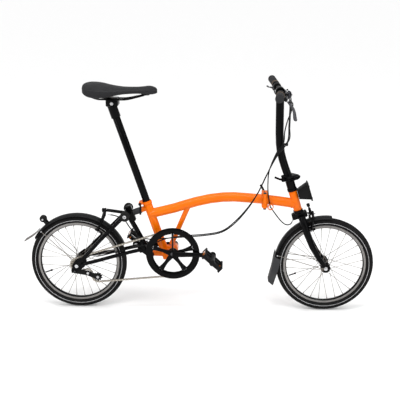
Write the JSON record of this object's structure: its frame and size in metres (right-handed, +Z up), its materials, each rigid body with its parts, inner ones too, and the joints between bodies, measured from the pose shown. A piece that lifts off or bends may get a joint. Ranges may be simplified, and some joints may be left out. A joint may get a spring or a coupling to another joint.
{
  "type": "folding bicycle",
  "caption": "Small-wheeled folding bicycle: hinged tube frame, folding handlebar post, sliding saddle post, fold-under rear triangle, mudguards, rollers and chain drive.",
  "frame": {"origin": "on the ground under the middle of the bicycle, in its central plane", "axes": "+X forward, +Y to the rider's left, +Z up"},
  "size_m": [1.5007, 0.5652, 0.9835],
  "materials": {
    "orange_paint": "gloss",
    "black_paint": "gloss",
    "black_plastic": "satin",
    "cable_housing": "satin",
    "steel": "polished",
    "aluminium": "brushed",
    "chain_steel": "satin",
    "rubber": "matte",
    "tyre_rubber": "matte",
    "saddle_cover": "matte"
  },
  "bodies": {
    "frame": {"main_frame": "orange_paint", "bottom_bracket": "steel", "hinge_pin": "steel", "hinge_clamp": "black_paint", "seat_clamp": "orange_paint"},
    "hinge_clamp_lever": {"hinge_clamp_lever": "black_paint"},
    "seat_clamp_lever": {"seat_clamp_lever": "black_plastic"},
    "seatpost": {"seatpost": "black_paint", "saddle_clamp": "black_paint", "saddle_rails": "black_paint", "saddle": "saddle_cover"},
    "front_frame": {"front_frame": "orange_paint", "headset_bearing": "black_paint", "carrier_block": "black_plastic", "rear_brake_cable": "cable_housing", "shift_cable": "cable_housing"},
    "fork": {"fork": "black_paint", "stem_base": "black_paint", "front_mudguard": "black_plastic", "front_mudflap": "rubber", "front_brake_cable": "cable_housing"},
    "front_wheel": {"front_tyre": "tyre_rubber", "front_rim": "aluminium", "front_hub": "steel"},
    "stem_clamp_lever": {"stem_clamp_lever": "black_paint"},
    "stem": {"handlepost": "black_paint", "handlebar": "black_paint", "grip_right": "rubber", "grip_left": "rubber", "lever_mount_right": "black_paint", "lever_mount_left": "black_paint", "bell": "steel", "shifter_pod": "black_plastic"},
    "brake_lever_right": {"brake_lever_right": "aluminium"},
    "brake_lever_left": {"brake_lever_left": "aluminium"},
    "shifter_lever": {"shifter_lever": "aluminium"},
    "front_brake_arm_right": {"front_brake_arm_right": "black_paint"},
    "front_brake_arm_left": {"front_brake_arm_left": "black_paint"},
    "rear_frame": {"rear_frame": "black_paint", "suspension_block": "rubber", "rear_mudguard": "black_plastic", "rear_mudflap": "rubber", "chain": "chain_steel"},
    "rear_wheel": {"rear_tyre": "tyre_rubber", "rear_rim": "aluminium", "rear_hub": "steel"},
    "sprocket": {"sprocket": "chain_steel"},
    "rear_brake_arm_right": {"rear_brake_arm_right": "black_paint"},
    "rear_brake_arm_left": {"rear_brake_arm_left": "black_paint"},
    "roller_right": {"roller_right": "rubber"},
    "roller_left": {"roller_left": "rubber"},
    "mudguard_roller": {"mudguard_roller": "rubber"},
    "tensioner": {"tensioner_arm": "black_plastic"},
    "jockey_wheel": {"jockey_wheel": "black_plastic"},
    "guide_wheel": {"guide_wheel": "black_plastic"},
    "crank": {"crank_right": "black_paint", "crank_left": "black_paint", "chainring": "black_paint"},
    "pedal_right": {"pedal_right": "black_plastic"},
    "pedal_left": {"pedal_left": "black_plastic"}
  },
  "joints": [
    {"name": "main_fold", "type": "hinge", "parent": "frame", "child": "front_frame", "pos_m": [0.274, -0.03, 0.4965], "axis": [0, 0, 1], "range_deg": [-120, 0], "deforming": ["rear_brake_cable", "shift_cable"]},
    {"name": "hinge_clamp_lever", "type": "hinge", "parent": "frame", "child": "hinge_clamp_lever", "pos_m": [0.274, 0.0475, 0.4965], "axis": [0, 1, 0], "range_deg": [0, 150]},
    {"name": "seat_clamp_lever", "type": "hinge", "parent": "frame", "child": "seat_clamp_lever", "pos_m": [-0.25084, -0.0265, 0.4755], "axis": [0, -1, 0], "range_deg": [0, 120]},
    {"name": "seatpost_slide", "type": "slide", "parent": "frame", "child": "seatpost", "axis": [-0.3156, 0, 0.9489], "range_m": [-0.35, 0]},
    {"name": "steering", "type": "hinge", "parent": "front_frame", "child": "fork", "pos_m": [0.391, 0, 0.531], "axis": [0.2924, 0, -0.9563], "range_deg": [-45, 45]},
    {"name": "front_wheel_spin", "type": "hinge", "parent": "fork", "child": "front_wheel", "pos_m": [0.537, 0, 0.208], "axis": [0, 1, 0], "continuous": true},
    {"name": "stem_clamp_lever", "type": "hinge", "parent": "fork", "child": "stem_clamp_lever", "pos_m": [0.34967, -0.02333, 0.586], "axis": [-0.7071, -0.7071, 0], "range_deg": [0, 100]},
    {"name": "stem_fold", "type": "hinge", "parent": "fork", "child": "stem", "pos_m": [0.4027, 0.0297, 0.59], "axis": [0.7071, -0.7071, 0], "range_deg": [-172, 0], "deforming": ["front_brake_cable"]},
    {"name": "brake_lever_right", "type": "hinge", "parent": "stem", "child": "brake_lever_right", "pos_m": [0.35273, -0.154, 0.93014], "axis": [-0.6606, 0, -0.7507], "range_deg": [0, 20], "stiffness_Nm_per_rad": 2},
    {"name": "brake_lever_left", "type": "hinge", "parent": "stem", "child": "brake_lever_left", "pos_m": [0.35273, 0.154, 0.93014], "axis": [0.6606, 0, 0.7507], "range_deg": [0, 20], "stiffness_Nm_per_rad": 2},
    {"name": "shifter_lever", "type": "hinge", "parent": "stem", "child": "shifter_lever", "pos_m": [0.2973, 0.112, 0.95], "axis": [0.2873, 0, 0.9578], "range_deg": [0, 25]},
    {"name": "front_brake_arm_right", "type": "hinge", "parent": "fork", "child": "front_brake_arm_right", "pos_m": [0.464, 0, 0.437], "axis": [1, 0, 0], "range_deg": [0, 1.6]},
    {"name": "front_brake_arm_left", "type": "hinge", "parent": "fork", "child": "front_brake_arm_left", "pos_m": [0.464, 0, 0.437], "axis": [-1, 0, 0], "range_deg": [0, 1.6]},
    {"name": "rear_fold", "type": "hinge", "parent": "frame", "child": "rear_frame", "pos_m": [-0.208, 0, 0.25], "axis": [0, -1, 0], "range_deg": [0, 145], "deforming": ["chain"]},
    {"name": "rear_wheel_spin", "type": "hinge", "parent": "rear_frame", "child": "rear_wheel", "pos_m": [-0.523, 0, 0.208], "axis": [0, 1, 0], "continuous": true},
    {"name": "sprocket_spin", "type": "hinge", "parent": "rear_frame", "child": "sprocket", "pos_m": [-0.523, 0, 0.208], "axis": [0, 1, 0], "continuous": true},
    {"name": "rear_brake_arm_right", "type": "hinge", "parent": "rear_frame", "child": "rear_brake_arm_right", "pos_m": [-0.415, 0, 0.44], "axis": [1, 0, 0], "range_deg": [0, 1.6]},
    {"name": "rear_brake_arm_left", "type": "hinge", "parent": "rear_frame", "child": "rear_brake_arm_left", "pos_m": [-0.415, 0, 0.44], "axis": [-1, 0, 0], "range_deg": [0, 1.6]},
    {"name": "roller_right_spin", "type": "hinge", "parent": "rear_frame", "child": "roller_right", "pos_m": [-0.311, -0.065, 0.432], "axis": [0, 1, 0], "continuous": true},
    {"name": "roller_left_spin", "type": "hinge", "parent": "rear_frame", "child": "roller_left", "pos_m": [-0.311, 0.065, 0.432], "axis": [0, 1, 0], "continuous": true},
    {"name": "mudguard_roller_spin", "type": "hinge", "parent": "rear_frame", "child": "mudguard_roller", "pos_m": [-0.67, 0, 0.399], "axis": [0, 1, 0], "continuous": true},
    {"name": "tensioner_swing", "type": "hinge", "parent": "rear_frame", "child": "tensioner", "pos_m": [-0.533, 0, 0.183], "axis": [0, 1, 0], "range_deg": [0, 15], "stiffness_Nm_per_rad": 1},
    {"name": "jockey_spin", "type": "hinge", "parent": "tensioner", "child": "jockey_wheel", "pos_m": [-0.436, -0.047, 0.155], "axis": [0, 1, 0], "continuous": true},
    {"name": "guide_spin", "type": "hinge", "parent": "tensioner", "child": "guide_wheel", "pos_m": [-0.478, -0.047, 0.172], "axis": [0, 1, 0], "continuous": true},
    {"name": "crank_spin", "type": "hinge", "parent": "frame", "child": "crank", "pos_m": [-0.112, 0, 0.266], "axis": [0, 1, 0], "continuous": true},
    {"name": "pedal_right_spin", "type": "hinge", "parent": "crank", "child": "pedal_right", "pos_m": [0.058, 0, 0.266], "axis": [0, 1, 0], "continuous": true},
    {"name": "pedal_left_spin", "type": "hinge", "parent": "crank", "child": "pedal_left", "pos_m": [-0.282, 0, 0.266], "axis": [0, 1, 0], "continuous": true}
  ],
  "couplings": [
    {"joint": "front_brake_arm_right", "follows": "brake_lever_right", "ratio": 0.08},
    {"joint": "front_brake_arm_left", "follows": "brake_lever_right", "ratio": 0.08},
    {"joint": "rear_brake_arm_right", "follows": "brake_lever_left", "ratio": 0.08},
    {"joint": "rear_brake_arm_left", "follows": "brake_lever_left", "ratio": 0.08},
    {"joint": "sprocket_spin", "follows": "crank_spin", "ratio": 3.846},
    {"joint": "jockey_spin", "follows": "crank_spin", "ratio": 5.1},
    {"joint": "guide_spin", "follows": "crank_spin", "ratio": -7.8}
  ]
}
